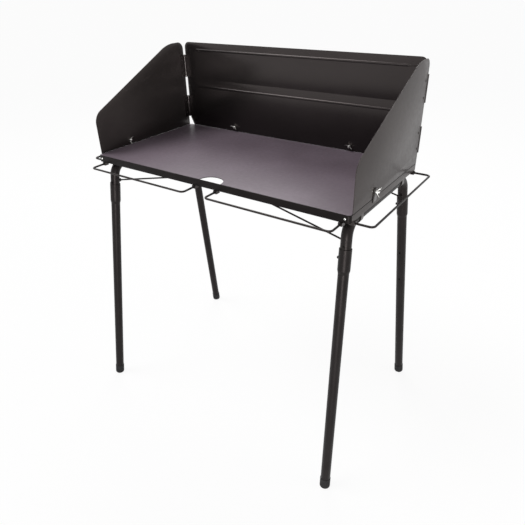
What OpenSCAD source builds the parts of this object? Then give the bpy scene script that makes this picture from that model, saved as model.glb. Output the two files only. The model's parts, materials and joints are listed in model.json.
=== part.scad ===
// Folding camp cook table: a steel top with a rim, a hinged windscreen on three sides,
// wire rails, and two U-shaped leg frames with plug-on lower legs.
// X runs left to right, Y front to back, Z up from the floor; the origin is on the floor, mid table.

/* [Table top] */
// Width of the top, left to right
top_w = 920; // [860:5:1050]
// Depth of the top, front to back
top_d = 460; // [440:5:540]
// Height of the cooking surface above the floor
top_h = 900; // [800:5:1000]
// Thickness of the top's sheet
top_t = 2; // [1.5:0.1:3]
// Height of the folded rim
rim_h = 21.5; // [18:0.5:26]
// Radius of the top's corners, seen from above
corner_r = 10; // [6:1:18]
// Width of the grip hole
grip_w = 78; // [74:1:110]
// Depth of the grip hole, front to back
grip_d = 38; // [37:1:50]
// Radius of the grip hole's rear corners
grip_r = 36; // [10:1:36]
// Sideways place of the grip hole
grip_x = 18; // [-30:1:30]
// Radius of a rim rivet's head
rim_rivet_r = 3.2; // [2.2:0.1:5]
// Distance of a rim rivet from the side of the top
rim_rivet_in = 15; // [13:1:30]

/* [Windscreen] */
// Height of the windscreen panels
screen_h = 299.5; // [280:0.5:340]
// Thickness of the panels' sheet
sheet_t = 1.5; // [1:0.1:2.5]
// Gap between the top and the panels' lower edges
screen_gap = 0.5; // [0.4:0.1:3]
// Gap between a panel and the plane of the rim's outer face
screen_inset = 0.3; // [0.3:0.1:1]
// Distance of a wing's front edge behind the front rim
wing_setback = 13; // [0:1:40]
// Height on the front edge at which the slanted edge would start
wing_front_h = 124.5; // [110:0.5:150]
// Length of a wing's top edge, before its corners are rounded
wing_top = 79; // [70:1:130]
// Radius between a wing's front and slanted edges
shoulder_r = 42; // [20:1:60]
// Radius between a wing's slanted and top edges
crest_r = 120; // [40:5:150]
// Radius of a wing's top rear corner
wing_rear_r = 25; // [8:1:35]
// Radius of the back panel's top corners
back_r = 20; // [8:1:35]
// Width of the cut on the back panel's lower corners
notch_w = 14; // [6:1:24]
// Height of the cut on the back panel's lower corners
notch_h = 27; // [8:1:28]
// Radius of a pressed rib's rounded front
rib_r = 4; // [3.5:0.1:6]
// Height of the lower rib above the panel's edge
rib_low = 146.5; // [120:0.5:160]
// Height of the upper rib above the panel's edge
rib_high = 274.5; // [240:0.5:276]
// Distance of a rib's ends from the panel's ends
rib_margin = 56; // [45:1:120]

/* [Windscreen hinges] */
// Length of a hinge
hinge_len = 78; // [60:1:80]
// Height of the lower hinge's middle above the panels' edge
hinge_low = 70.5; // [68:0.5:80]
// Height of the upper hinge's middle above the panels' edge
hinge_high = 216.5; // [190:0.5:220]
// Width of a hinge leaf, from the pin
leaf_w = 22; // [18:1:32]
// Thickness of a hinge leaf
leaf_t = 1.6; // [1.2:0.1:2]
// Radius of a hinge barrel
barrel_r = 5; // [4.4:0.1:6]
// Distance of the panels' edges from the hinge pins' axes
edge_gap = 3.2; // [2.8:0.1:4]
// Radius of a hinge pin
pin_r = 2.2; // [1.6:0.1:2.6]
// Distance of a hinge rivet from the pin
rivet_out = 14; // [12:1:15]
// Radius of a hinge rivet's shank
rivet_r = 1.8; // [1.4:0.1:2.2]

/* [Windscreen bolts] */
// Radius of a bolt
bolt_r = 3; // [2.5:0.1:3.5]
// Height of the bolts above the top
bolt_up = 16; // [15.5:0.5:22]
// Place of the wing bolts, front to back
side_bolt_y = -90; // [-130:1:-60]
// Distance of the back bolts from the middle
back_bolt_x = 235; // [180:1:280]
// Width of a tab
tab_w = 22; // [18:1:30]
// Thickness of a tab
tab_t = 2; // [1.5:0.1:3]
// Distance of a tab's top above its bolt
tab_over = 9; // [8:1:14]
// Height of the rim that a tab is welded to
tab_down = 12; // [10:1:18]
// Radius of a wing nut's body
nut_r = 5.8; // [5.2:0.1:7]
// Height of a wing nut's body
nut_h = 8; // [6:0.5:10]
// Reach of a wing nut's ears from its axis
ear_reach = 12.5; // [11:0.5:13]
// Height of a wing nut's ears
ear_h = 13.5; // [12:0.5:15]
// Thickness of a wing nut's ears
ear_t = 2.4; // [1.8:0.1:3]
// Turn of the wing nuts, in degrees
nut_turn = 155; // [0:5:175]

/* [Leg frames] */
// Radius of the leg tubes
tube_r = 15; // [13.5:0.5:15.5]
// Wall of the leg tubes
tube_t = 1.6; // [1.2:0.1:2.2]
// Distance of the cross tubes from the sides of the top
axle_in = 24; // [22:1:40]
// Distance of the cross tubes below the cooking surface
axle_drop = 38; // [37:0.5:46]
// Distance of a frame's corner from the front or rear edge
corner_in = 40; // [34:1:46]
// Radius of the bends, at the tube's middle
bend_r = 45; // [36:1:48]
// Distance that the feet stand out sideways from the cross tubes
lean_out = 43; // [20:1:70]
// Distance that the feet stand out from the frames' corners
splay_out = 127; // [100:1:140]
// Length of a stub, from the frame's corner
stub_len = 126; // [120:1:128]
// Width of a saddle along the cross tube
saddle_w = 15; // [10:1:24]
// Wall of a saddle
saddle_wall = 3; // [2:0.5:4]

/* [Lower legs] */
// Distance of a socket's mouth from the frame's corner
socket_at = 70; // [68:1:74]
// Length of a socket
socket_len = 60; // [56:1:70]
// Radius of a socket
socket_r = 17.2; // [16.9:0.1:18.5]
// Length of the taper below a socket
taper_len = 10; // [6:1:16]
// Radius of the two holes in a lower leg
leg_hole_r = 3; // [2:0.1:4]
// Distance of the upper hole from the frame's corner
upper_hole_at = 278; // [200:1:320]
// Distance of the lower hole from the frame's corner
lower_hole_at = 390; // [350:1:450]

/* [Foot caps] */
// Radius of a foot cap
cap_r = 16.3; // [16.1:0.1:19]
// Length of a foot cap up the leg
cap_len = 28; // [22:1:50]
// Thickness of rubber under the tube
cap_floor = 6; // [5:0.5:9]
// Radius of a foot cap's lower edge
cap_edge_r = 7; // [3:0.5:9]

/* [Snap buttons] */
// Radius of a snap button
button_r = 4; // [3:0.1:4.5]
// Distance of the buttons from the frame's corner
button_at = 98; // [94:1:104]
// Distance that a button stands out of its socket
button_out = 4.5; // [3.5:0.1:6]
// Radius of a button's collar
collar_r = 5.2; // [5:0.1:6]
// Width of a leaf spring
spring_w = 7; // [5:0.1:8]
// Thickness of a leaf spring
spring_t = 0.9; // [0.6:0.1:1.2]
// Length of a leaf spring's arms
spring_len = 24; // [18:1:26]

/* [Braces] */
// Radius of a brace rod
rod_r = 2.5; // [2:0.1:2.7]
// Distance of the brace pins below the cross tube
brace_at = 62; // [58:0.5:63]
// Distance of the brace hooks from the middle of the table
hook_x = 88; // [70:1:140]
// Distance of the brace hooks below the top's sheet
hook_drop = 18; // [12:0.5:20]
// Radius of a hook's crosspiece
hook_r = 3; // [2.8:0.1:3.6]
// Length of a hook's crosspiece
hook_len = 16; // [13:1:20]
// Radius of a brace's eye
eye_r = 6.3; // [5:0.1:6.4]
// Thickness of a brace's eye
eye_t = 5.6; // [5.5:0.1:7]
// Radius of a brace pin
brace_pin_r = 2.4; // [1.8:0.1:2.6]
// Thickness of a keeper
keeper_t = 3; // [2:0.5:4]
// Distance that a keeper reaches below its hook
keeper_below = 16; // [10:1:24]
// Width of a keeper
keeper_w = 22; // [20:1:30]

/* [Rails] */
// Radius of the rail wire
wire_r = 3; // [2.5:0.1:3.5]
// Distance that a rail stands out from the rim
rail_reach = 52; // [40:1:70]
// Distance of the front rails' inner ends from the middle
rail_gap = 40; // [25:1:60]
// Distance of the front rails' outer ends from the sides of the top
rail_end = 25; // [20:1:28]
// Distance of the side rails' ends from the front and rear edges
side_rail_end = 22; // [16:1:24]
// Radius of a rail's bends
rail_bend = 12; // [8:1:20]
// Width of a rail socket
rail_socket_w = 12; // [10:0.5:16]
// Height of a rail socket
rail_socket_h = 9.5; // [9:0.1:11]
// Distance that a rail socket reaches in behind the rim's outer face
rail_socket_in = 11; // [8:0.5:12]
// Distance that a rail socket reaches out in front of the rim
rail_socket_out = 4; // [2:0.5:8]

/* [Fits] */
// Radial clearance of a turning or sliding fit
run_fit = 0.05; // [0.02:0.01:0.1]
// Clearance between pieces that rest side by side
seat_fit = 0.3; // [0.2:0.05:0.5]
// Radial clearance round a bolt that a wing swings away from
swing_fit = 0.8; // [0.6:0.1:1]
// Radial clearance of a stub in its socket
plug_fit = 0.2; // [0.1:0.05:0.3]

/* [Hidden] */
$fn = 48;
arc_steps = 8;
cut = 1;

rim_z = top_h - rim_h;
sheet_z = top_h - top_t;
half_w = top_w / 2;
half_d = top_d / 2;

// Windscreen planes: in and out are the inner and outer faces of the sheets
screen_z = top_h + screen_gap;
wing_out = half_w - screen_inset;
wing_in = wing_out - sheet_t;
back_out = half_d - screen_inset;
back_in = back_out - sheet_t;
rib_wall = rib_r - sheet_t;

// The hinge pin stands just inside the leaves, so that a wing folds in over the back panel
hinge_x = wing_in - leaf_t - seat_fit;
hinge_y = back_in - leaf_t - seat_fit;
edge_clear = 0.75;
wing_rear = hinge_y - edge_gap;
back_end = hinge_x - edge_gap;
wing_front = -half_d + wing_setback;
knuckles = 5;
knuckle_len = hinge_len / knuckles;
rivet_share = 0.6;
rivet_spread = rivet_share * hinge_len;
rivet_head_grow = 1.8;
rivet_head_r = rivet_head_grow * rivet_r;
rivet_head_h = 0.5;
hinge_heights = [screen_z + hinge_low, screen_z + hinge_high];

bolt_z = top_h + bolt_up;
tab_top = bolt_z + tab_over;
bolt_head_r = 2 * bolt_r;
bolt_head_rise = 0.9;
bolt_head_h = bolt_head_rise * bolt_r;
bolt_end = nut_h + bolt_r;
// A wing nut's top radius and the inner ends of its ears, as shares of the base sizes
nut_taper = 0.82;
ear_root = 0.3;
ear_shoulder = 0.55;
ear_r = 2;
nut_foot_r = 1;

// Leg frames: each frame is flat, leans outward about its cross tube and splays to front and back
axle_x = half_w - axle_in;
axle_z = top_h - axle_drop;
corner_y = half_d - corner_in;
lean = atan(lean_out / axle_z);
plane_len = axle_z / cos(lean);
splay = atan(splay_out / plane_len);
leg_len = plane_len / cos(splay);
foot_x = axle_x + lean_out;
foot_y = corner_y + splay_out;
bend_back = bend_r * tan((90 - splay) / 2);
cross_half = corner_y - bend_back;
bore_r = tube_r - tube_t;
// Bends swell a little, and the straight tubes run a little way into them
bend_bulge = 0.05;
bend_lap = 0.5;
saddle_y = cross_half - saddle_w / 2 - seat_fit;

socket_end = socket_at + socket_len;
tube_end = leg_len - cap_floor;
cap_sink = cap_r * sin(lean + splay);
leg_holes = [upper_hole_at, lower_hole_at];

button_top = socket_r + button_out;
collar_in = bore_r - collar_r;
collar_h = 1.5;

// Braces: the rods lie just inside the legs
brace_pin_y = corner_y + brace_at * tan(splay);
leg_face_y = brace_pin_y - tube_r / cos(splay) - eye_r * tan(splay);
rod_y = leg_face_y - seat_fit - eye_t / 2;
brace_x = axle_x + brace_at * sin(lean);
brace_z = axle_z - brace_at * cos(lean);
hook_z = sheet_z - hook_drop;
rod_run = brace_x - hook_x;
rod_len = norm([rod_run, hook_z - brace_z]);
rod_slope = atan((hook_z - brace_z) / rod_run);
rod_start = (eye_r + brace_pin_r) / 2;
keeper_x = hook_x + hook_r + seat_fit;
keeper_foot = 12;
pin_head_r = 2 * brace_pin_r;
pin_head_h = 1.8;

rail_z = rim_z - rail_socket_h / 2;
front_rail_out = half_w - rail_end;
side_rail_y = half_d - side_rail_end;

top_colour = "#6d666a";
black_paint = "#242122";
side_colour = "#6a615d";
bright_zinc = "#c9c9c6";
rubber_black = "#1c1b1b";
spring_steel = "#8b8b88";

// Outlines: each corner is [x, y, radius], and round corners become short arcs
function unit(v) = v / norm(v);
function plane_point(p) = [p[0], p[1]];
function wrap(a) = a > 180 ? a - 360 : a < -180 ? a + 360 : a;
function arc(centre, from, to, r) = [
    for (i = [0:arc_steps])
        let (a = from + wrap(to - from) * i / arc_steps)
        centre + r * [cos(a), sin(a)]
];
function corner(before, at, after, r) =
    let (
        u = unit(before - at),
        v = unit(after - at),
        half = acos(u * v) / 2,
        centre = at + unit(u + v) * r / sin(half),
        start = at + u * r / tan(half) - centre,
        end = at + v * r / tan(half) - centre
    )
    arc(centre, atan2(start[1], start[0]), atan2(end[1], end[0]), r);
function rounded(corners) = [
    for (i = [0:len(corners) - 1])
        let (
            n = len(corners),
            p = plane_point(corners[i]),
            before = plane_point(corners[(i + n - 1) % n]),
            after = plane_point(corners[(i + 1) % n]),
            r = corners[i][2]
        )
        each (r > 0 ? corner(before, p, after, r) : [p])
];
function rectangle(x, y, r) = rounded([[x, -y, r], [x, y, r], [-x, y, r], [-x, -y, r]]);

// Draws the right-hand piece, or its mirror image on the left
module on_side(side) {
    if (side < 0) mirror([1, 0, 0]) children();
    else children();
}

// Cylinder along +X or along +Y, from its start
module rod_along_x(r, length) {
    rotate([0, 90, 0]) cylinder(r = r, h = length);
}
module rod_along_y(r, length) {
    rotate([-90, 0, 0]) cylinder(r = r, h = length);
}

// Table top
module top_pan() {
    color(top_colour) difference() {
        translate([0, 0, rim_z]) linear_extrude(rim_h) polygon(rectangle(half_w, half_d, corner_r));
        translate([0, 0, rim_z - cut]) linear_extrude(rim_h - top_t + cut)
            polygon(rectangle(half_w - top_t, half_d - top_t, corner_r - top_t));
        translate([grip_x, -half_d + top_t, sheet_z - cut])
            linear_extrude(top_t + 2 * cut) polygon(grip_outline());
        for (side = [-1, 1])
            translate([side * (half_w - rim_rivet_in), -half_d - cut, top_h - rim_h / 2])
                rod_along_y(rim_rivet_r / 2 + run_fit, top_t + 2 * cut);
    }
}
function grip_outline() = rounded([
    [-grip_w / 2, 0, 0], [grip_w / 2, 0, 0], [grip_w / 2, grip_d, grip_r], [-grip_w / 2, grip_d, grip_r]
]);
module rim_rivets() {
    color(bright_zinc)
        for (side = [-1, 1])
            translate([side * (half_w - rim_rivet_in), -half_d, top_h - rim_h / 2]) {
                translate([0, -rim_rivet_r / 2, 0]) rod_along_y(rim_rivet_r, rim_rivet_r / 2);
                rod_along_y(rim_rivet_r / 2, top_t);
                translate([0, top_t, 0]) rod_along_y(rim_rivet_r, rim_rivet_r / 3);
            }
}

// Windscreen tabs: upright strips welded to the outside of the rim
module tab(hole_r) {
    difference() {
        translate([0, -tab_w / 2, top_h - tab_down]) cube([tab_t, tab_w, tab_top - top_h + tab_down]);
        translate([-cut, 0, bolt_z]) rod_along_x(hole_r, tab_t + 2 * cut);
    }
}
module windscreen_tabs() {
    color(black_paint) {
        for (side = [-1, 1])
            translate([side * back_bolt_x, half_d, 0]) rotate([0, 0, 90]) tab(bolt_r + run_fit);
        translate([half_w, side_bolt_y, 0]) tab(bolt_r + swing_fit);
        mirror([1, 0, 0]) translate([half_w, side_bolt_y, 0]) tab(bolt_r + run_fit);
    }
}

// Windscreen panels
module rib(height) {
    start = -back_end + rib_margin;
    translate([start, back_out, screen_z + height]) {
        rod_along_x(rib_r, -2 * start);
        sphere(r = rib_r);
        translate([-2 * start, 0, 0]) sphere(r = rib_r);
    }
}
module rib_hollow(height) {
    start = -back_end + rib_margin;
    translate([start, back_out, screen_z + height]) rod_along_x(rib_wall, -2 * start);
}
function back_outline() = rounded([
    [-back_end + notch_w, 0, 0], [back_end - notch_w, 0, 0], [back_end, notch_h, 0],
    [back_end, screen_h, back_r], [-back_end, screen_h, back_r], [-back_end, notch_h, 0]
]);
module back_panel() {
    color(black_paint) difference() {
        union() {
            translate([0, back_out, screen_z]) rotate([90, 0, 0])
                linear_extrude(sheet_t) polygon(back_outline());
            rib(rib_low);
            rib(rib_high);
        }
        translate([-half_w, back_out, screen_z]) cube([top_w, rib_r + cut, screen_h]);
        rib_hollow(rib_low);
        rib_hollow(rib_high);
        for (side = [-1, 1]) {
            translate([side * back_bolt_x, back_in - cut, bolt_z])
                rod_along_y(bolt_r + seat_fit, sheet_t + 2 * cut);
            on_side(side) hinge_notches();
            on_side(side) back_rivet_places() translate([0, -cut, 0])
                rod_along_y(rivet_r + run_fit, sheet_t + 2 * cut);
        }
    }
}
function wing_outline() = rounded([
    [wing_front, 0, 0], [wing_rear, 0, 0], [wing_rear, screen_h, wing_rear_r],
    [wing_rear - wing_top, screen_h, crest_r], [wing_front, wing_front_h, shoulder_r]
]);
module wing(side, hole_r) {
    color(side_colour) on_side(side) difference() {
        translate([wing_in, 0, screen_z]) rotate([90, 0, 90]) linear_extrude(sheet_t) polygon(wing_outline());
        translate([wing_in - cut, side_bolt_y, bolt_z]) rod_along_x(hole_r, sheet_t + 2 * cut);
        hinge_notches();
        wing_rivet_places() translate([-cut, 0, 0]) rod_along_x(rivet_r + run_fit, sheet_t + 2 * cut);
    }
}

// Windscreen hinges, drawn on the right; the back leaf has the odd knuckles
module back_rivet_places() {
    for (z = hinge_heights, end = [-1, 1])
        translate([hinge_x - rivet_out, back_in, z + end * rivet_spread / 2]) children();
}
module wing_rivet_places() {
    for (z = hinge_heights, end = [-1, 1])
        translate([wing_in, hinge_y - rivet_out, z + end * rivet_spread / 2]) children();
}
// Room for the barrels in the panels' edges
module hinge_notches() {
    for (z = hinge_heights)
        translate([hinge_x, hinge_y, z - hinge_len / 2 - edge_clear])
            cylinder(r = barrel_r + edge_clear, h = hinge_len + 2 * edge_clear);
}
module knuckle_row(first, r, spare) {
    for (i = [first:2:knuckles - 1])
        translate([hinge_x, hinge_y, i * knuckle_len - hinge_len / 2 + spare])
            cylinder(r = r, h = knuckle_len - 2 * spare);
}
module hinge_bore() {
    translate([hinge_x, hinge_y, -hinge_len]) cylinder(r = pin_r + run_fit, h = 2 * hinge_len);
}
module hinge_leaf(first) {
    difference() {
        union() {
            difference() {
                translate([0, 0, -hinge_len / 2]) children();
                knuckle_row(1 - first, barrel_r + seat_fit, -seat_fit / 2);
            }
            knuckle_row(first, barrel_r, seat_fit / 2);
        }
        hinge_bore();
    }
}
module back_leaves(side) {
    color(black_paint) on_side(side) difference() {
        for (z = hinge_heights)
            translate([0, 0, z]) hinge_leaf(0)
                translate([hinge_x - leaf_w, back_in - leaf_t, 0]) cube([leaf_w, leaf_t, hinge_len]);
        back_rivet_places() translate([0, -leaf_t - cut, 0])
            rod_along_y(rivet_r + run_fit, leaf_t + 2 * cut);
    }
}
module wing_leaves(side) {
    color(black_paint) on_side(side) difference() {
        for (z = hinge_heights)
            translate([0, 0, z]) hinge_leaf(1)
                translate([wing_in - leaf_t, hinge_y - leaf_w, 0]) cube([leaf_t, leaf_w, hinge_len]);
        wing_rivet_places() translate([-leaf_t - cut, 0, 0])
            rod_along_x(rivet_r + run_fit, leaf_t + 2 * cut);
    }
}
module hinge_pins(side) {
    color(spring_steel) on_side(side)
        for (z = hinge_heights)
            translate([hinge_x, hinge_y, z - hinge_len / 2]) cylinder(r = pin_r, h = hinge_len);
}
module rivet() {
    grip = leaf_t + sheet_t;
    translate([-leaf_t - rivet_head_h, 0, 0]) rod_along_x(rivet_head_r, rivet_head_h);
    translate([-leaf_t - rivet_head_h / 2, 0, 0]) rod_along_x(rivet_r, grip + rivet_head_h);
    translate([sheet_t, 0, 0]) rod_along_x(rivet_head_r, 2 * rivet_head_h);
}
module back_hinge_rivets() {
    color(black_paint)
        for (side = [-1, 1]) on_side(side) back_rivet_places() rotate([0, 0, 90]) rivet();
}
module wing_rivets(side) {
    color(side_colour) on_side(side) wing_rivet_places() rivet();
}

// Bolts and wing nuts; a bolt points along +X from the outer face that its head rests on
module bolt(length) {
    rotate([0, 90, 0]) {
        cylinder(r = bolt_r, h = length);
        translate([0, 0, -bolt_head_h]) rotate_extrude()
            polygon(rounded([[0, 0, 0], [bolt_head_r, 0, bolt_head_h / 2], [bolt_head_r, bolt_head_h, 0],
                [0, bolt_head_h, 0]]));
    }
}
module back_tab_bolts() {
    length = tab_t + screen_inset + sheet_t + bolt_end;
    color(bright_zinc)
        for (side = [-1, 1])
            translate([side * back_bolt_x, half_d + tab_t, bolt_z]) rotate([0, 0, -90]) bolt(length);
}
module left_tab_bolt() {
    length = tab_t + screen_inset + sheet_t + bolt_end;
    color(bright_zinc) translate([-half_w - tab_t, side_bolt_y, bolt_z]) bolt(length);
}
module right_wing_bolt() {
    length = sheet_t + screen_inset + tab_t + bolt_end;
    color(bright_zinc) translate([wing_in, side_bolt_y, bolt_z]) bolt(length);
}
module wing_nut(hole_r) {
    ear = rounded([
        [0, 0, 0], [nut_r + nut_foot_r, 0, nut_foot_r], [ear_reach, ear_h / 2, ear_r],
        [ear_reach, ear_h, ear_r], [ear_shoulder * ear_reach, ear_h, ear_r],
        [ear_root * ear_reach, nut_h, 0], [0, nut_h, 0]
    ]);
    color(bright_zinc) rotate([0, 90, 0]) difference() {
        union() {
            cylinder(r1 = nut_r, r2 = nut_taper * nut_r, h = nut_h);
            for (half = [0, 180])
                rotate([90, 0, nut_turn + half]) translate([0, 0, -ear_t / 2])
                    linear_extrude(ear_t) polygon(ear);
        }
        translate([0, 0, -cut]) cylinder(r = hole_r, h = ear_h + 2 * cut);
    }
}
module back_nut(side) {
    translate([side * back_bolt_x, back_in - seat_fit, bolt_z]) rotate([0, 0, -90])
        wing_nut(bolt_r + run_fit);
}
module left_wing_nut() {
    translate([-wing_in + seat_fit, side_bolt_y, bolt_z]) wing_nut(bolt_r + swing_fit);
}
module right_wing_nut() {
    translate([half_w + tab_t + seat_fit, side_bolt_y, bolt_z]) wing_nut(bolt_r + swing_fit);
}

// Leg frames: the frame's own plane holds Y and Z, with the cross tube along Y at its origin
module on_frame(side) {
    translate([side * axle_x, 0, axle_z]) rotate([0, -side * lean, 0]) children();
}
// A leg's own axis runs down -Z from the frame's corner
module on_leg(side, end) {
    on_frame(side) translate([0, end * corner_y, 0]) rotate([end * splay, 0, 0]) children();
}
module tube_wall(bulge) {
    difference() {
        circle(tube_r + bulge);
        circle(bore_r - bulge);
    }
}
module frame_bend() {
    translate([0, cross_half, -bend_r]) rotate([90, 0, 90]) rotate([0, 0, splay])
        rotate_extrude(angle = 90 - splay) translate([bend_r, 0]) tube_wall(bend_bulge);
}
module frame_stub() {
    difference() {
        translate([0, corner_y, 0]) rotate([splay, 0, 0]) difference() {
            translate([0, 0, -stub_len]) linear_extrude(stub_len - bend_back + bend_lap) tube_wall(0);
            translate([-2 * tube_r, 0, -button_at]) rod_along_x(button_r + run_fit, 2 * tube_r);
        }
        translate([0, brace_pin_y - 2 * tube_r, -brace_at]) rod_along_y(brace_pin_r + run_fit, 4 * tube_r);
    }
}
module leg_frame(side) {
    color(black_paint) on_frame(side) {
        rotate([90, 0, 0]) linear_extrude(2 * (cross_half + bend_lap), center = true) tube_wall(0);
        for (end = [0, 1]) mirror([0, end, 0]) {
            frame_bend();
            frame_stub();
        }
    }
}
module saddles(side) {
    outer = tube_r + run_fit + saddle_wall;
    color(black_paint)
        for (end = [-1, 1])
            translate([side * axle_x, end * saddle_y - saddle_w / 2, axle_z]) difference() {
                union() {
                    rod_along_y(outer, saddle_w);
                    translate([-outer, 0, 0]) cube([2 * outer, saddle_w, sheet_z - axle_z]);
                }
                translate([0, -cut, 0]) rod_along_y(tube_r + run_fit, saddle_w + 2 * cut);
            }
}

// Lower legs: a wide socket that plugs over the stub, a taper and a plain tube
module lower_leg(side, end) {
    inner = tube_r + plug_fit;
    profile = [
        [inner, -socket_at], [socket_r, -socket_at], [socket_r, -socket_end],
        [tube_r, -socket_end - taper_len], [tube_r, -tube_end], [bore_r, -tube_end],
        [bore_r, -socket_end - taper_len], [inner, -socket_end]
    ];
    color(black_paint) on_leg(side, end) difference() {
        rotate_extrude() polygon(profile);
        translate([-2 * socket_r, 0, -button_at]) rod_along_x(button_r + run_fit, 2 * socket_r);
        for (at = leg_holes)
            translate([0, 0, -at]) rotate([end * 90, 0, 0]) cylinder(r = leg_hole_r, h = 2 * tube_r);
    }
}
module foot_cap(side, end) {
    inner = tube_r + run_fit;
    bottom = -leg_len - cap_sink;
    mouth = -tube_end + cap_len;
    profile = rounded([
        [0, bottom, 0], [cap_r, bottom, cap_edge_r], [cap_r, mouth, (cap_r - inner) / 2],
        [inner, mouth, 0], [inner, -tube_end, 0], [0, -tube_end, 0]
    ]);
    color(rubber_black) difference() {
        on_leg(side, end) rotate_extrude() polygon(profile);
        translate([side * foot_x - 2 * cap_r, end * foot_y - 2 * cap_r, -4 * cap_r]) cube(4 * cap_r);
    }
}

// Snap buttons point along -X and are pressed in along +X
module snap_button(side, end) {
    profile = rounded([
        [0, collar_in, 0], [collar_r, collar_in, 0], [collar_r, collar_in + collar_h, 0],
        [button_r, collar_in + collar_h, 0], [button_r, button_top, button_r / 2], [0, button_top, 0]
    ]);
    color(black_paint) on_leg(side, end) translate([0, 0, -button_at]) rotate([0, -90, 0])
        rotate_extrude() polygon(profile);
}
module strip(from, to) {
    run = to - from;
    translate(from) rotate(atan2(run[1], run[0])) translate([0, -spring_t / 2]) square([norm(run), spring_t]);
    for (p = [from, to]) translate(p) circle(d = spring_t);
}
module leaf_spring(side, end) {
    press = -collar_in + spring_t / 2;
    wall = sqrt(pow(bore_r - seat_fit, 2) - pow(spring_w / 2, 2)) - spring_t / 2;
    tip = [(press + wall) / 2, spring_len];
    color(spring_steel) on_leg(side, end) translate([0, spring_w / 2, -button_at]) rotate([90, 0, 0])
        linear_extrude(spring_w) {
            strip([press, -collar_r], [press, collar_r]);
            strip([press, collar_r], tip);
            strip(tip, [wall, -collar_r]);
        }
}

// Braces: a rod with an eye on the leg's pin and a crosspiece that hooks behind its keeper
module brace(side, end) {
    color(black_paint) on_side(side) translate([brace_x, end * rod_y, brace_z]) difference() {
        union() {
            translate([0, -eye_t / 2, 0]) rod_along_y(eye_r, eye_t);
            rotate([0, 180 + rod_slope, 0]) translate([rod_start, 0, 0])
                rod_along_x(rod_r, rod_len - rod_start);
            translate([-rod_run, -hook_len / 2, hook_z - brace_z]) rod_along_y(hook_r, hook_len);
        }
        translate([0, -eye_t, 0]) rod_along_y(brace_pin_r + run_fit, 2 * eye_t);
    }
}
module brace_pins(side) {
    inner = rod_y - eye_t / 2 - seat_fit;
    outer = brace_pin_y + tube_r / cos(splay) + pin_head_r * tan(splay) + seat_fit;
    color(black_paint) on_frame(side)
        for (end = [0, 1]) mirror([0, end, 0]) translate([0, 0, -brace_at]) {
            translate([0, inner - pin_head_h, 0]) rod_along_y(pin_head_r, pin_head_h);
            translate([0, inner - pin_head_h, 0]) rod_along_y(brace_pin_r, outer - inner + 2 * pin_head_h);
            translate([0, outer, 0]) rod_along_y(pin_head_r, pin_head_h);
        }
}
module brace_keepers() {
    slot = 2 * (rod_r + 2 * seat_fit);
    low = hook_z - keeper_below;
    color(black_paint)
        for (side = [-1, 1], end = [-1, 1])
            on_side(side) translate([keeper_x, end * rod_y, 0]) difference() {
                union() {
                    translate([0, -keeper_w / 2, low]) cube([keeper_t, keeper_w, sheet_z - low]);
                    translate([0, -keeper_w / 2, sheet_z - keeper_t]) cube([keeper_foot, keeper_w, keeper_t]);
                }
                translate([-cut, -slot / 2, low - cut])
                    cube([keeper_t + 2 * cut, slot, hook_z + slot / 2 - low + cut]);
            }
}

// Rails: a wire bent round two corners, whose ends plug into sockets under the rim
module rail_half(half_len) {
    reach = rail_reach - rail_bend;
    translate([half_len, -reach, 0]) rod_along_y(wire_r, reach + rail_socket_in - seat_fit);
    translate([half_len - rail_bend, -reach, 0]) rotate([0, 0, -90])
        rotate_extrude(angle = 90) translate([rail_bend, 0]) circle(wire_r);
    translate([0, -rail_reach, 0]) rod_along_x(wire_r, half_len - rail_bend);
}
module rail(half_len) {
    color(black_paint)
        for (half = [0, 1]) mirror([half, 0, 0]) rail_half(half_len);
}
module front_rail(side) {
    middle = (front_rail_out + rail_gap) / 2;
    translate([side * middle, -half_d, rail_z]) rail((front_rail_out - rail_gap) / 2);
}
module side_rail(side) {
    translate([side * half_w, 0, rail_z]) rotate([0, 0, side * 90]) rail(side_rail_y);
}
module rail_socket() {
    length = rail_socket_in + rail_socket_out;
    difference() {
        translate([-rail_socket_w / 2, -rail_socket_out, -rail_socket_h / 2])
            cube([rail_socket_w, length, rail_socket_h]);
        translate([0, -rail_socket_out - cut, 0]) rod_along_y(wire_r + run_fit, length + 2 * cut);
    }
}
module rail_sockets() {
    color(black_paint) for (side = [-1, 1]) {
        for (x = [rail_gap, front_rail_out]) translate([side * x, -half_d, rail_z]) rail_socket();
        for (end = [-1, 1])
            translate([side * half_w, end * side_rail_y, rail_z]) rotate([0, 0, side * 90]) rail_socket();
    }
}

top_pan();
windscreen_tabs();
brace_keepers();
rail_sockets();
rim_rivets();
back_panel();
wing(-1, bolt_r + swing_fit);  // left_wing
wing(1, bolt_r + run_fit);  // right_wing
back_leaves(-1);  // left_hinge_back_leaves
wing_leaves(-1);  // left_hinge_wing_leaves
hinge_pins(-1);  // left_hinge_pins
back_leaves(1);  // right_hinge_back_leaves
wing_leaves(1);  // right_hinge_wing_leaves
hinge_pins(1);  // right_hinge_pins
back_hinge_rivets();
wing_rivets(-1);  // left_wing_rivets
wing_rivets(1);  // right_wing_rivets
back_tab_bolts();
left_tab_bolt();
right_wing_bolt();
back_nut(-1);  // back_left_nut
back_nut(1);  // back_right_nut
left_wing_nut();
right_wing_nut();
saddles(-1);  // left_saddles
saddles(1);  // right_saddles
leg_frame(-1);  // left_leg_frame
leg_frame(1);  // right_leg_frame
lower_leg(-1, -1);  // front_left_lower_leg
lower_leg(-1, 1);  // rear_left_lower_leg
lower_leg(1, -1);  // front_right_lower_leg
lower_leg(1, 1);  // rear_right_lower_leg
foot_cap(-1, -1);  // front_left_foot_cap
foot_cap(-1, 1);  // rear_left_foot_cap
foot_cap(1, -1);  // front_right_foot_cap
foot_cap(1, 1);  // rear_right_foot_cap
snap_button(-1, -1);  // front_left_button
snap_button(-1, 1);  // rear_left_button
snap_button(1, -1);  // front_right_button
snap_button(1, 1);  // rear_right_button
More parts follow.
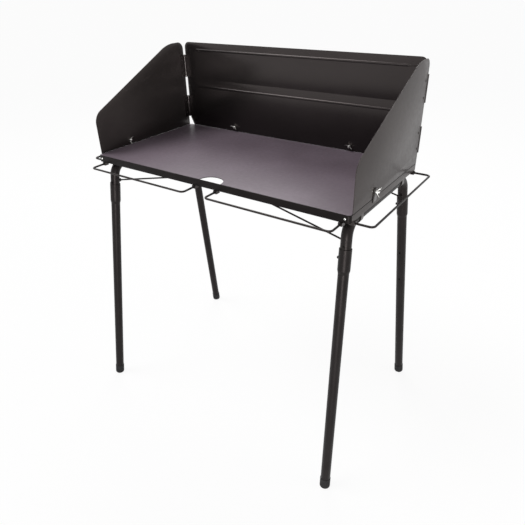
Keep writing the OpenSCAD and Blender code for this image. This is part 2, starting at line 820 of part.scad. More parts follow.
leaf_spring(-1, -1);  // front_left_spring
leaf_spring(-1, 1);  // rear_left_spring
leaf_spring(1, -1);  // front_right_spring
leaf_spring(1, 1);  // rear_right_spring
brace(-1, -1);  // front_left_brace
brace(-1, 1);  // rear_left_brace
brace(1, -1);  // front_right_brace
brace(1, 1);  // rear_right_brace
brace_pins(-1);  // left_brace_pins
brace_pins(1);  // right_brace_pins
front_rail(-1);  // front_left_rail
front_rail(1);  // front_right_rail
side_rail(-1);  // left_rail
side_rail(1);  // right_rail
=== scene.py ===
# %% [markdown]
# # A folding camp cook table
# The real table is a folded steel pan on two bent tube frames, with three thin steel sheets hinged
# together round its back and sides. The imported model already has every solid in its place.
# This lesson loads it as a fixed frame, mixes its paints, remodels the sheet, turned and moulded
# pieces with soft edges, and then sets the light and the camera. The frame comes first, because
# every piece rides on one of its bodies.

# %% Load the frame
import json
import math
import bmesh
import bpy
from mathutils import Matrix, Vector

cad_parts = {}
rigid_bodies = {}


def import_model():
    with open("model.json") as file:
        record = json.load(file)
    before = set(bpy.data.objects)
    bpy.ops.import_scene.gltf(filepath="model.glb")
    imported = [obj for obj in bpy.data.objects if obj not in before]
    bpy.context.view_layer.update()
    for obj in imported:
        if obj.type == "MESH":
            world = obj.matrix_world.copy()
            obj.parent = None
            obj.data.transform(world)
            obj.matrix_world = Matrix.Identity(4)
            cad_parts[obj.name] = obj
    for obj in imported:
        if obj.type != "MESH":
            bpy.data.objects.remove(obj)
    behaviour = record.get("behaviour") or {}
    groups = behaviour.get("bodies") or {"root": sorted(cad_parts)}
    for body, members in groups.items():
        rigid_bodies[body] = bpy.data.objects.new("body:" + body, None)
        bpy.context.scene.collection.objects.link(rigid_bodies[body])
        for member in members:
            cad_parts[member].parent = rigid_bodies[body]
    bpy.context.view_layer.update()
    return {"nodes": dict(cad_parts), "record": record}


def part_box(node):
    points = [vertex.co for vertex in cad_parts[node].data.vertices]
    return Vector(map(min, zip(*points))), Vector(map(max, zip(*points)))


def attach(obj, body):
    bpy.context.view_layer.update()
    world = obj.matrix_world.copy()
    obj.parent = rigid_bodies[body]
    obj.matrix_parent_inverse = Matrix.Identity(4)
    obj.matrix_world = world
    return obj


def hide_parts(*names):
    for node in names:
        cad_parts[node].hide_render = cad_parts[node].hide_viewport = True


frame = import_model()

MM = 0.001

# %% [markdown]
# ## Tools for the bench
# A modeller works in a rhythm: deselect everything, add a primitive, go into edit mode,
# select by place, and run an operator. Small helpers for that rhythm keep each later cell short.
# Selecting is done in code here, by where a vertex, edge or face lies, since there is no mouse.

# %% Selecting and starting shapes
def deselect():
    if bpy.context.object and bpy.context.object.mode == "EDIT":
        bpy.ops.object.mode_set(mode="OBJECT")
    bpy.ops.object.select_all(action="DESELECT")


def settle(name):
    """Names the new shape and moves its place and turn into its mesh."""
    bpy.ops.object.transform_apply(location=True, rotation=True, scale=True)
    bpy.context.object.name = name
    return bpy.context.object


def hold(shape):
    """Makes a shape the active one, and the only one that is selected."""
    deselect()
    shape.select_set(True)
    bpy.context.view_layer.objects.active = shape


def edit(shape):
    hold(shape)
    bpy.ops.object.mode_set(mode="EDIT")


def pick(kind, test):
    """In edit mode, selects the vertices, edges or faces that pass the test."""
    bpy.ops.mesh.select_mode(type=kind)
    bpy.ops.mesh.select_all(action="DESELECT")
    mesh = bmesh.from_edit_mesh(bpy.context.object.data)
    items = {"VERT": mesh.verts, "EDGE": mesh.edges, "FACE": mesh.faces}[kind]
    for item in items:
        item.select_set(test(item))
    mesh.select_flush_mode()
    bmesh.update_edit_mesh(bpy.context.object.data)


def block(name, low, high):
    """Adds a box between two corners."""
    deselect()
    low, high = Vector(low), Vector(high)
    bpy.ops.mesh.primitive_cube_add(size=1, location=(low + high) / 2, scale=high - low)
    return settle(name)


def modify(shape, kind, **settings):
    """Adds a modifier to a shape and applies it."""
    hold(shape)
    modifier = shape.modifiers.new(kind.title(), kind)
    for key, value in settings.items():
        setattr(modifier, key, value)
    bpy.ops.object.modifier_apply(modifier=modifier.name)


def drop(shape):
    """Deletes a cutter or a pattern that is done with."""
    deselect()
    shape.select_set(True)
    bpy.ops.object.delete()


print("bench ready")

# %% [markdown]
# ## Paints and metals
# Powder coat is sprayed on dry and baked, so it flows into a skin with a very fine orange peel,
# and its gloss drifts a little over a large sheet. Each paint here is one shader: slow clouds of
# noise shift its colour, a finer noise shifts its gloss, and the finest one lifts the skin by up to
# a few hundredths of a millimetre. Everything reads Object coordinates, so the pattern has the same
# size in metres on every piece.

# %% Patterns in metres
NOISE_LOW, NOISE_HIGH = 0.3, 0.7
BLEND_FROM, BLEND_TO = 0.35, 0.65
PLAIN = (1, 1, 1)


def node_link(tree, source, target):
    tree.links.new(source, target)


def noise(tree, scale, detail, stretch=PLAIN):
    """A noise pattern in metres on the piece, stretched along an axis where it is asked."""
    place_in = tree.nodes.new("ShaderNodeTexCoord")
    mapping = tree.nodes.new("ShaderNodeMapping")
    mapping.inputs["Scale"].default_value = stretch
    pattern = tree.nodes.new("ShaderNodeTexNoise")
    pattern.inputs["Scale"].default_value = scale
    pattern.inputs["Detail"].default_value = detail
    node_link(tree, place_in.outputs["Object"], mapping.inputs["Vector"])
    node_link(tree, mapping.outputs["Vector"], pattern.inputs["Vector"])
    return pattern.outputs["Fac"]


def ramp(tree, factor, dark, light):
    """Turns a pattern into a blend of two colours."""
    blend = tree.nodes.new("ShaderNodeValToRGB")
    blend.color_ramp.elements[0].position = BLEND_FROM
    blend.color_ramp.elements[0].color = (*dark, 1)
    blend.color_ramp.elements[1].position = BLEND_TO
    blend.color_ramp.elements[1].color = (*light, 1)
    node_link(tree, factor, blend.inputs["Fac"])
    return blend.outputs["Color"]


def span(tree, factor, low, high):
    """Turns a pattern into numbers between two limits."""
    limits = tree.nodes.new("ShaderNodeMapRange")
    limits.inputs["From Min"].default_value = NOISE_LOW
    limits.inputs["From Max"].default_value = NOISE_HIGH
    limits.inputs["To Min"].default_value = low
    limits.inputs["To Max"].default_value = high
    node_link(tree, factor, limits.inputs["Value"])
    return limits.outputs["Result"]


print("noise between", NOISE_LOW, "and", NOISE_HIGH, "is used")

# %% One recipe for every finish
CLOUD_DETAIL, GRAIN_DETAIL, PEEL_DETAIL = 4, 3, 2
PEEL_STRENGTH = 0.6


def finish_of(name, dark, light, gloss, cloud, grain=90, peel=900, lift=0.03, metal=0,
              specular=0.5, tint=PLAIN, stretch=PLAIN):
    """Makes one finish; gloss is its lowest and highest roughness, lift is in millimetres."""
    material = bpy.data.materials.new(name)
    material.use_nodes = True
    tree = material.node_tree
    shader = tree.nodes["Principled BSDF"]
    shader.inputs["Metallic"].default_value = metal
    shader.inputs["Specular IOR Level"].default_value = specular
    shader.inputs["Specular Tint"].default_value = (*tint, 1)
    clouds = noise(tree, cloud, CLOUD_DETAIL)
    node_link(tree, ramp(tree, clouds, dark, light), shader.inputs["Base Color"])
    grains = noise(tree, grain, GRAIN_DETAIL, stretch)
    node_link(tree, span(tree, grains, *gloss), shader.inputs["Roughness"])
    bump = tree.nodes.new("ShaderNodeBump")
    bump.inputs["Strength"].default_value = PEEL_STRENGTH
    bump.inputs["Distance"].default_value = lift * MM
    node_link(tree, noise(tree, peel, PEEL_DETAIL, stretch), bump.inputs["Height"])
    node_link(tree, bump.outputs["Normal"], shader.inputs["Normal"])
    return material


print("recipe ready")

# %% [markdown]
# ## The finishes of this table
# The sheets, the rim, the tubes and the wire are all black, and each was coated on its own and has
# its own gloss. The rim's front and back take a darker copy of the black, which is painted shade,
# and the wings' black is lighter than the back sheet's, partly painted light. One black for all of
# them would be quicker, but then thin wire and broad sheet would look as if they were cast in one
# piece, so each gets its own paint. The fasteners are plated, and the feet are rubber.

# %% Mix the finishes
WARM = (1, 0.87, 0.85)
finishes = {
    "top_paint": finish_of(
        "warm grey satin paint", (0.13, 0.1, 0.122), (0.178, 0.141, 0.17), (0.38, 0.5),
        cloud=3.5, lift=0.03, specular=0.27),
    "black_paint": finish_of(
        "gloss black paint", (0.009, 0.0078, 0.0077), (0.014, 0.0121, 0.0118), (0.2, 0.25),
        cloud=5, peel=420, lift=0.004, specular=0.5, tint=WARM),
    # Satin black, lighter than the back sheet's black, partly painted light on the wings.
    "wing_paint": finish_of(
        "satin black sheet paint", (0.026, 0.0222, 0.0215), (0.036, 0.031, 0.03), (0.3, 0.36),
        cloud=5, peel=420, lift=0.006, specular=0.3, tint=WARM),
    "tube_paint": finish_of(
        "satin black tube paint", (0.006, 0.0052, 0.0052), (0.01, 0.0088, 0.0088), (0.34, 0.46),
        cloud=16, peel=1100, lift=0.02, specular=0.19, tint=WARM),
    # A darker copy of the black for the pan's front and back folds: painted shade.
    "shaded_rim_paint": finish_of(
        "satin black rim paint as painted shade", (0.004, 0.0035, 0.0035), (0.007, 0.006, 0.006), (0.4, 0.5),
        cloud=16, peel=1100, lift=0.02, specular=0.14, tint=WARM),
    "wire_paint": finish_of(
        "satin black wire paint", (0.005, 0.0042, 0.004), (0.01, 0.0085, 0.008), (0.28, 0.42),
        cloud=25, peel=1300, lift=0.015, specular=0.25, tint=WARM),
    "zinc": finish_of(
        "bright zinc plate", (0.66, 0.65, 0.62), (0.82, 0.82, 0.8), (0.16, 0.26),
        cloud=160, grain=500, peel=2500, lift=0.01, metal=1),
    "spring_steel": finish_of(
        "plain spring steel", (0.3, 0.3, 0.29), (0.42, 0.42, 0.4), (0.25, 0.4),
        cloud=120, grain=700, peel=2500, lift=0.01, metal=1, stretch=(1, 1, 0.1)),
    "rubber": finish_of(
        "moulded rubber", (0.007, 0.0066, 0.007), (0.014, 0.0129, 0.0135), (0.56, 0.76),
        cloud=60, grain=300, peel=1800, lift=0.05, specular=0.27),
}
slot_of = {part["node"]: part["material_slot"] for part in frame["record"]["subparts"]}
for node, shape in frame["nodes"].items():
    shape.data.materials.clear()
    shape.data.materials.append(finishes[slot_of[node]])
print("finishes:", ", ".join(sorted(finishes)))

# %% [markdown]
# ## Handing a piece over
# A finished piece needs four things: its paint, smooth shading that still breaks at sharp bends,
# the body that it rides on, and the solids that it stands for hidden away. One helper does all
# four, and reads the body and the paint from the first solid that the piece replaces.

# %% Dressing a piece
bodies = frame["record"]["behaviour"]["bodies"]
body_of = {node: body for body, nodes in bodies.items() for node in nodes}
SMOOTH_BELOW = math.radians(32)


def dress(shape, *replaced):
    slot = slot_of[replaced[0]]
    hold(shape)
    bpy.ops.object.shade_smooth_by_angle(angle=SMOOTH_BELOW)
    shape.data.materials.clear()
    shape.data.materials.append(finishes[slot])
    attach(shape, body_of[replaced[0]])
    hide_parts(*replaced)
    print(shape.name, "for", ", ".join(replaced), "with", len(shape.data.polygons), "faces")


print("solids with a body:", len(body_of))

# %% [markdown]
# ## The pan
# The top is one sheet of 2 mm steel with its four sides folded down, so its upper edge is a bend
# and not a corner. A box could be given thick walls by hand, but a thin skin is easier: bevel the
# box's corners and its upper edge, take the bottom away, and let Solidify add the wall.
# The half-moon grip hole is then cut with a rounded block.

# %% Fold the pan
PAN_CORNER = 10 * MM
PAN_FOLD = 2.1 * MM
PAN_SHEET = 2 * MM
GRIP_LEFT, GRIP_RIGHT, GRIP_FRONT, GRIP_REAR = -21 * MM, 57 * MM, -228 * MM, -190 * MM
GRIP_ROUND = 36 * MM
GRIP_REACH = 10 * MM
HAIR = 0.01 * MM
FACING = 0.9
SHEET_WALL = {"offset": -1, "use_even_offset": True}

pan_low, pan_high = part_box("top_pan")
pan = block("table_top", pan_low, pan_high)
edit(pan)
pick("EDGE", lambda e: abs(e.verts[0].co.z - e.verts[1].co.z) > PAN_FOLD)
bpy.ops.mesh.bevel(offset=PAN_CORNER, segments=8, affect="EDGES")
pick("EDGE", lambda e: all(v.co.z > pan_high[2] - HAIR for v in e.verts))
bpy.ops.mesh.bevel(offset=PAN_FOLD, segments=5, affect="EDGES")
pick("FACE", lambda f: f.normal.z < -FACING)
bpy.ops.mesh.delete(type="FACE")
bpy.ops.object.mode_set(mode="OBJECT")
modify(pan, "SOLIDIFY", thickness=PAN_SHEET, **SHEET_WALL)

grip = block("grip_cutter", (GRIP_LEFT, GRIP_FRONT, pan_high[2] - GRIP_REACH),
             (GRIP_RIGHT, GRIP_REAR, pan_high[2] + GRIP_REACH))
edit(grip)
pick("EDGE", lambda e: all(v.co.y > GRIP_REAR - HAIR for v in e.verts)
     and abs(e.verts[0].co.z - e.verts[1].co.z) > PAN_SHEET)
bpy.ops.mesh.bevel(offset=GRIP_ROUND, segments=16, affect="EDGES")
bpy.ops.object.mode_set(mode="OBJECT")
modify(pan, "BOOLEAN", object=grip, operation="DIFFERENCE", solver="EXACT")
drop(grip)
dress(pan, "top_pan")

# %% [markdown]
# The cooking surface is a grey satin, but the folded sides are black. More material slots on the
# same mesh do this: the faces that look sideways or down are selected by their normal and assigned
# to a second slot with a darker copy of the black, which is painted shade, and the flat ends then
# get the lighter sheet paint of the wings above them, which is painted light.

# %% Black sides
FLAT = 0.995


def paint_faces(shape, finish, rule):
    shape.data.materials.append(finishes[finish])
    edit(shape)
    pick("FACE", rule)
    shape.active_material_index = len(shape.data.materials) - 1
    bpy.ops.object.material_slot_assign()
    bpy.ops.object.mode_set(mode="OBJECT")
    print(shape.name, "has faces in", finishes[finish].name)


# The front and back folds get the darker black as painted shade, and the ends get the lighter wing
# paint as painted light.
paint_faces(pan, "shaded_rim_paint", lambda f: f.normal.z < FLAT)
paint_faces(pan, "wing_paint", lambda f: abs(f.normal.x) > FLAT)

# %% [markdown]
# ## The back sheet
# The back of the windscreen is a thin sheet with round upper corners, cut lower corners, and two
# long beads that were pressed into it to keep it flat near a fire. A plane stands in for the
# sheet's front face. Bisect draws straight lines across it where a bead begins and ends, and each
# row of points is pushed forward by the height of a round bead there. Solidify gives the sheet
# its back, and a small bevel breaks its rim.

# %% Cut the back sheet
SHEET = 1.5 * MM
back_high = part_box("back_panel")[1]
BACK_FRONT_Y = back_high[1] - SHEET
FOOT_GAP = 0.05 * MM
SHEET_LOW, SHEET_HIGH = pan_high[2] + FOOT_GAP, back_high[2]
BACK_HALF = back_high[0]
BACK_CORNER = 20 * MM
NOTCH_W, NOTCH_H = 14 * MM, 27 * MM


def bisect(point, normal, cut_off=False):
    """Cuts the whole shape along a plane, and can take away what the normal points at."""
    bpy.ops.mesh.select_all(action="SELECT")
    bpy.ops.mesh.bisect(plane_co=point, plane_no=normal, clear_outer=cut_off)


def blank(name, middle, turn, size):
    """A flat blank for a sheet, upright and turned about Z."""
    deselect()
    bpy.ops.mesh.primitive_plane_add(size=1, location=middle, rotation=(math.pi / 2, 0, turn))
    bpy.context.object.scale = (*size, 1)
    return settle(name)


SHEET_MID = (SHEET_LOW + SHEET_HIGH) / 2
SHEET_TALL = SHEET_HIGH - SHEET_LOW
back = blank("back_sheet", (0, BACK_FRONT_Y, SHEET_MID), 0, (2 * BACK_HALF, SHEET_TALL))
edit(back)
pick("VERT", lambda v: v.co.z > SHEET_HIGH - HAIR)
bpy.ops.mesh.bevel(offset=BACK_CORNER, segments=10, affect="VERTICES")
for side in (-1, 1):
    foot = (side * (BACK_HALF - NOTCH_W), BACK_FRONT_Y, SHEET_LOW)
    bisect(foot, (side * NOTCH_H, 0, -NOTCH_W), cut_off=True)
bpy.ops.object.mode_set(mode="OBJECT")
print("back sheet blank", round(2 * BACK_HALF, 3), "by", round(SHEET_TALL, 3), "m")

# %% [markdown]
# The hinges sit in the corners, so every sheet has a small notch where a barrel needs room.
# A plain block taken away with a Boolean is the quickest way to cut one, and the same helper
# serves the wings later.

# %% Notches for the hinges
pin_low, pin_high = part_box("right_hinge_pins")
HINGE_X, HINGE_Y = (pin_low[0] + pin_high[0]) / 2, (pin_low[1] + pin_high[1]) / 2
HINGE_LEN = 78 * MM
HINGE_ROOM = 0.75 * MM
NOTCH_REACH = 5.5 * MM
hinge_middles = (pin_low[2] + HINGE_LEN / 2, pin_high[2] - HINGE_LEN / 2)


def cut_notches(sheet, corner):
    """Takes a notch out of a sheet's edge at both hinges, where the pins' axis passes the corner."""
    for middle in hinge_middles:
        reach = Vector((NOTCH_REACH, NOTCH_REACH, HINGE_LEN / 2 + HINGE_ROOM))
        centre = Vector((corner.x, corner.y, middle))
        room = block("notch_cutter", centre - reach, centre + reach)
        modify(sheet, "BOOLEAN", object=room, operation="DIFFERENCE", solver="EXACT")
        drop(room)


print("hinge axis", round(HINGE_X, 4), round(HINGE_Y, 4))

# %% [markdown]
# ## Pressing the beads
# The beads and a faint crease above the lower one run along the sheet. Each row of points moves
# straight forward, and its distance from the bead's middle decides how far, so the rows together
# follow a round profile. The crease is a single row that moves back instead.

# %% Press the beads
BEAD_R = 4 * MM
BEAD_HEIGHTS = (1047 * MM, 1175 * MM)
BEAD_END = 394.5 * MM
BEAD_RUN_OUT = 4 * MM
BEAD_ROWS = [row * MM for row in (0, 1.5, 2.8, 3.7)]
CREASE_HEIGHT = 1074 * MM
CREASE_HALF = 1.4 * MM
CREASE_DEEP = 0.5 * MM
RIM_BREAK = 0.15 * MM
SHARP = math.radians(60)


def break_rim(sheet):
    modify(sheet, "BEVEL", width=RIM_BREAK, segments=2, limit_method="ANGLE", angle_limit=SHARP)


edit(back)
for side in (-1, 1):
    for end in (BEAD_END, BEAD_END + BEAD_RUN_OUT):
        bisect((side * end, 0, 0), (1, 0, 0))
for height in BEAD_HEIGHTS:
    for row in BEAD_ROWS:
        bisect((0, 0, height + row), (0, 0, 1))
        bisect((0, 0, height - row), (0, 0, 1))
    for row in BEAD_ROWS:
        rise = max(math.sqrt(BEAD_R ** 2 - row ** 2) - SHEET, 0)
        pick("VERT", lambda v: abs(abs(v.co.z - height) - row) < HAIR
             and abs(v.co.x) < BEAD_END + HAIR)
        bpy.ops.transform.translate(value=(0, -rise, 0))
for step in (-CREASE_HALF, 0, CREASE_HALF):
    bisect((0, 0, CREASE_HEIGHT + step), (0, 0, 1))
pick("VERT", lambda v: abs(v.co.z - CREASE_HEIGHT) < HAIR and abs(v.co.x) < BEAD_END + HAIR)
bpy.ops.transform.translate(value=(0, CREASE_DEEP, 0))
bpy.ops.object.mode_set(mode="OBJECT")
modify(back, "SOLIDIFY", thickness=SHEET, **SHEET_WALL)
for side in (-1, 1):
    cut_notches(back, Vector((side * HINGE_X, BACK_FRONT_Y, 0)))
break_rim(back)
dress(back, "back_panel")

# %% [markdown]
# ## The wings
# Each wing is a flat sheet with a vertical front edge, a long slanted edge and a short top edge,
# all with round corners. Drawing the outline point by point would work, but a plane with one
# bisect for the slant shows better how the real blank is sheared. The corners are then rounded
# one by one, since each has its own radius.

# %% Shear the wings
wing_low, wing_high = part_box("right_wing")
WING_OUT = wing_high[0]
WING_FRONT, WING_REAR = wing_low[1], wing_high[1]
SHOULDER_UP, CREST_AHEAD = 124.5 * MM, 79 * MM
SHOULDER_R, CREST_R, REAR_R = 42 * MM, 120 * MM, 25 * MM
SHOULDER = Vector((0, WING_FRONT, SHEET_LOW + SHOULDER_UP))
CREST = Vector((0, WING_REAR - CREST_AHEAD, SHEET_HIGH))
REAR = Vector((0, WING_REAR, SHEET_HIGH))
SLANT = (CREST - SHOULDER).normalized()
SLANT_OUT = (0, -SLANT.z, SLANT.y)
UP, BACKWARD = Vector((0, 0, 1)), Vector((0, 1, 0))


def round_corner(corner, one, other, radius):
    """Rounds the corner where two edges meet; one and other point along them, away from it."""
    reach = radius / math.tan(one.angle(other) / 2)
    pick("VERT", lambda v: abs(v.co.y - corner.y) < HAIR and abs(v.co.z - corner.z) < HAIR)
    bpy.ops.mesh.bevel(offset=reach, segments=12, affect="VERTICES")


def wing_sheet(name, node, side):
    middle = (side * WING_OUT, (WING_FRONT + WING_REAR) / 2, SHEET_MID)
    wing = blank(name, middle, side * math.pi / 2, (WING_REAR - WING_FRONT, SHEET_TALL))
    edit(wing)
    bisect((side * WING_OUT, SHOULDER.y, SHOULDER.z), SLANT_OUT, cut_off=True)
    round_corner(SHOULDER, -UP, SLANT, SHOULDER_R)
    round_corner(CREST, -SLANT, BACKWARD, CREST_R)
    round_corner(REAR, -BACKWARD, -UP, REAR_R)
    bpy.ops.object.mode_set(mode="OBJECT")
    modify(wing, "SOLIDIFY", thickness=SHEET, **SHEET_WALL)
    cut_notches(wing, Vector((side * WING_OUT, HINGE_Y, 0)))
    break_rim(wing)
    dress(wing, node)


wing_sheet("left_wing_sheet", "left_wing", -1)
wing_sheet("right_wing_sheet", "right_wing", 1)

# %% [markdown]
# ## The tabs
# Four short strips are welded to the outside of the rim and stand up past the top. Each holds
# a bolt that clamps a sheet. A strip is a block with its two upper corners rounded, as a sheared
# and ground strip has them, and a fine bevel breaks its other edges so that they catch the light.

# %% Grind the tabs
TAB_W, TAB_T = 22 * MM, 2 * MM
TAB_ROUND = 7 * MM
tab_low, tab_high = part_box("windscreen_tabs")
TAB_LOW, TAB_HIGH = tab_low[2], tab_high[2]
HALF_W, HALF_D = pan_high[0], pan_high[1]


def middle_of(node):
    low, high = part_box(node)
    return (Vector(low) + Vector(high)) / 2


BACK_BOLT_X = middle_of("back_right_nut").x
SIDE_BOLT_Y = middle_of("left_wing_nut").y


def tab(name, foot, turn):
    """A strip whose inner face has its middle at the foot, turned about Z from facing forward."""
    strip = block(name, (-TAB_W / 2, -TAB_T, TAB_LOW), (TAB_W / 2, 0, TAB_HIGH))
    edit(strip)
    pick("EDGE", lambda e: all(v.co.z > TAB_HIGH - HAIR for v in e.verts)
         and abs(e.verts[0].co.y - e.verts[1].co.y) > TAB_T / 2)
    bpy.ops.mesh.bevel(offset=TAB_ROUND, segments=6, affect="EDGES")
    bpy.ops.object.mode_set(mode="OBJECT")
    break_rim(strip)
    strip.matrix_world = Matrix.Translation(Vector(foot)) @ Matrix.Rotation(turn, 4, "Z")
    return settle(name)


def joined(shapes, name):
    """Joins shapes into the first of them."""
    hold(shapes[0])
    for shape in shapes[1:]:
        shape.select_set(True)
    bpy.ops.object.join()
    shapes[0].name = name
    return shapes[0]


tabs = [
    tab("tab_back_left", (-BACK_BOLT_X, HALF_D, 0), math.pi),
    tab("tab_back_right", (BACK_BOLT_X, HALF_D, 0), math.pi),
    tab("tab_left", (-HALF_W, SIDE_BOLT_Y, 0), -math.pi / 2),
    tab("tab_right", (HALF_W, SIDE_BOLT_Y, 0), math.pi / 2),
]
dress(joined(tabs, "tab_strips"), "windscreen_tabs")

# %% [markdown]
# ## Turned pieces
# Bolts, rivets and rubber feet are round about one axis, as if cut on a lathe. A circle is drawn
# at one end, and each extrude with a scale makes the next ring of the profile. A spin would do
# as well, but it needs its seam merged, and rings of extrudes are closed from the start.

# %% Turning and placing
def turned(name, rings, sides=40, hollow=False):
    """Turns a piece round Z from (radius, height) rings.

    A hollow piece joins its last ring to its first.
    """
    deselect()
    radius, height = rings[0]
    fill = "NOTHING" if hollow else "NGON"
    bpy.ops.mesh.primitive_circle_add(vertices=sides, radius=radius, location=(0, 0, height),
                                      fill_type=fill)
    shape = settle(name)
    edit(shape)
    bpy.ops.mesh.select_all(action="SELECT")
    for (radius, height), (next_radius, next_height) in zip(rings, rings[1:]):
        grow = next_radius / radius
        step = {"value": (0, 0, next_height - height)}
        if hollow:
            bpy.ops.mesh.extrude_edges_move(TRANSFORM_OT_translate=step)
        else:
            bpy.ops.mesh.extrude_region_move(TRANSFORM_OT_translate=step)
        bpy.ops.transform.resize(value=(grow, grow, 1), center_override=(0, 0, next_height))
    if hollow:
        pick("EDGE", lambda e: e.is_boundary)
        bpy.ops.mesh.bridge_edge_loops()
    bpy.ops.mesh.select_all(action="SELECT")
    bpy.ops.mesh.normals_make_consistent(inside=False)
    bpy.ops.object.mode_set(mode="OBJECT")
    return shape


def place(shape, point, axis, turn=0):
    """Turns a shape about its own Z, points its Z along an axis and moves it to a point."""
    aim = Vector((0, 0, 1)).rotation_difference(Vector(axis).normalized()).to_matrix().to_4x4()
    spin = Matrix.Rotation(turn, 4, "Z")
    hold(shape)
    shape.matrix_world = Matrix.Translation(Vector(point)) @ aim @ spin
    return settle(shape.name)


def copy_of(shape, name):
    """Makes a copy with its own mesh."""
    hold(shape)
    bpy.ops.object.duplicate(linked=False)
    bpy.context.object.name = name
    return bpy.context.object


print("lathe ready")

# %% [markdown]
# ## Bolts
# A mushroom bolt has a low domed head and a thread on the shank. A true helix is invisible at
# this size, so its thread is a row of turned grooves, one for each millimetre, which reads the
# same and stays light. One bolt is turned once, and every other bolt is a copy that is placed
# on its own axis.

# %% Turn a bolt
BOLT_R = 3 * MM
HEAD_R, HEAD_H = 6 * MM, 2.7 * MM
HEAD_TIP_R = 0.9 * MM
BOLT_LEN = 14.8 * MM
BOLT_Z = middle_of("back_right_nut").z
THREAD_FROM = 4 * MM
THREAD_DEEP = 0.35 * MM
PITCH = 1 * MM


def dome(radius, height, base, steps=6):
    """Rings of a low dome that swells from a small tip to its full radius at the base."""
    angles = [(i + 1) / steps * math.pi / 2 for i in range(steps)]
    return [(radius * math.sin(a), base - height * math.cos(a)) for a in angles]


bolt_rings = [(HEAD_TIP_R, -HEAD_H), *dome(HEAD_R, HEAD_H, 0)]
bolt_rings += [(BOLT_R, HAIR), (BOLT_R, THREAD_FROM)]
height = THREAD_FROM
while height + PITCH < BOLT_LEN:
    bolt_rings += [(BOLT_R - THREAD_DEEP, height + PITCH / 2), (BOLT_R, height + PITCH)]
    height += PITCH
bolt_rings += [(BOLT_R - THREAD_DEEP, BOLT_LEN)]
bolt = turned("bolt_pattern", bolt_rings, sides=28)
bolt_places = {
    "bolt_back_left": ("back_tab_bolts", (-BACK_BOLT_X, HALF_D + TAB_T, BOLT_Z), (0, -1, 0)),
    "bolt_back_right": ("back_tab_bolts", (BACK_BOLT_X, HALF_D + TAB_T, BOLT_Z), (0, -1, 0)),
    "bolt_left": ("left_tab_bolt", (-HALF_W - TAB_T, SIDE_BOLT_Y, BOLT_Z), (1, 0, 0)),
    "bolt_right": ("right_wing_bolt", (WING_OUT - SHEET, SIDE_BOLT_Y, BOLT_Z), (1, 0, 0)),
}
for name, (node, point, axis) in bolt_places.items():
    dress(place(copy_of(bolt, name), point, axis), node)
drop(bolt)

# %% [markdown]
# ## Rim rivets
# Two bright rivets show on the front rim, near its ends. Each is a small turned button with a
# flat on its crown, which is how a struck rivet looks, so it is drawn from the same dome rings
# as the bolts.

# %% Strike the rim rivets
RIVET_R, RIVET_RISE = 3.2 * MM, 1.6 * MM
RIVET_FLAT_R, RIVET_SHANK_R = 0.96 * MM, 1.6 * MM
RIVET_TAIL = 1 * MM
RIVET_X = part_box("rim_rivets")[1][0] - RIVET_R
RIVET_Z = middle_of("rim_rivets").z
rivet_rings = [(RIVET_FLAT_R, -RIVET_RISE), *dome(RIVET_R, RIVET_RISE, 0)[1:]]
rivet_rings += [(RIVET_SHANK_R, HAIR), (RIVET_SHANK_R, PAN_SHEET)]
rivet_rings += [(RIVET_R, PAN_SHEET + HAIR), (RIVET_R, PAN_SHEET + RIVET_TAIL)]
rivets = []
for side in (-1, 1):
    rivet = turned(f"rim_rivet_{side}", rivet_rings, sides=24)
    rivets.append(place(rivet, (side * RIVET_X, -HALF_D, RIVET_Z), (0, 1, 0)))
dress(joined(rivets, "rim_rivet_pair"), "rim_rivets")

# %% [markdown]
# ## Wing nuts
# A wing nut is cast: a tapered collar with two ears that sweep out and up, and no sharp edge
# anywhere. The collar is turned with its bore. One ear starts as a small block whose outer face
# is extruded along the sweep, Subdivision Surface melts it into a cast shape, and the second ear
# is a copy turned by half a turn.

# %% Cast a wing nut
NUT_R, NUT_H = 5.8 * MM, 8 * MM
NUT_BORE = 3.4 * MM
NUT_BREAK, NUT_BASE = 0.4 * MM, 1.2 * MM
NUT_SHOULDER_R, NUT_TOP_R = 0.86 * NUT_R, 0.76 * NUT_R
NUT_ROUND = 0.8 * MM
EAR_T = 2.8 * MM
EAR_IN, EAR_OUT = 3.6 * MM, 5.6 * MM
EAR_LOW, EAR_HIGH = 0.9 * MM, 7 * MM
# Each step of an ear's sweep: millimetres out, millimetres up, and the share of its height it keeps
EAR_SWEEP = [(2.6, 2.3, 0.98), (2.5, 3.2, 0.9), (1.9, 2.9, 0.72)]
BACK_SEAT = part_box("back_left_nut")[1][1]
LEFT_SEAT, RIGHT_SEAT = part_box("left_wing_nut")[0][0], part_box("right_wing_nut")[0][0]
NUT_TURN = math.radians(155)

collar_rings = [(NUT_BORE, 0), (NUT_R - NUT_BREAK, 0), (NUT_R, NUT_BREAK), (NUT_R, NUT_BASE)]
collar_rings += [(NUT_SHOULDER_R, NUT_H - NUT_ROUND), (NUT_TOP_R, NUT_H), (NUT_BORE, NUT_H)]
collar = turned("collar", collar_rings, sides=36, hollow=True)
ear = block("ear", (EAR_IN, -EAR_T / 2, EAR_LOW), (EAR_OUT, EAR_T / 2, EAR_HIGH))
edit(ear)
pick("FACE", lambda f: f.normal.x > FACING)
for out, up, shrink in EAR_SWEEP:
    bpy.ops.mesh.extrude_region_move(TRANSFORM_OT_translate={"value": (out * MM, 0, up * MM)})
    bpy.ops.transform.resize(value=(1, 1, shrink))
bpy.ops.object.mode_set(mode="OBJECT")
modify(ear, "SUBSURF", levels=3, render_levels=3)
other_ear = copy_of(ear, "other_ear")
other_ear.matrix_world = Matrix.Rotation(math.pi, 4, "Z")
settle("other_ear")
nut = joined([collar, ear, other_ear], "nut_pattern")
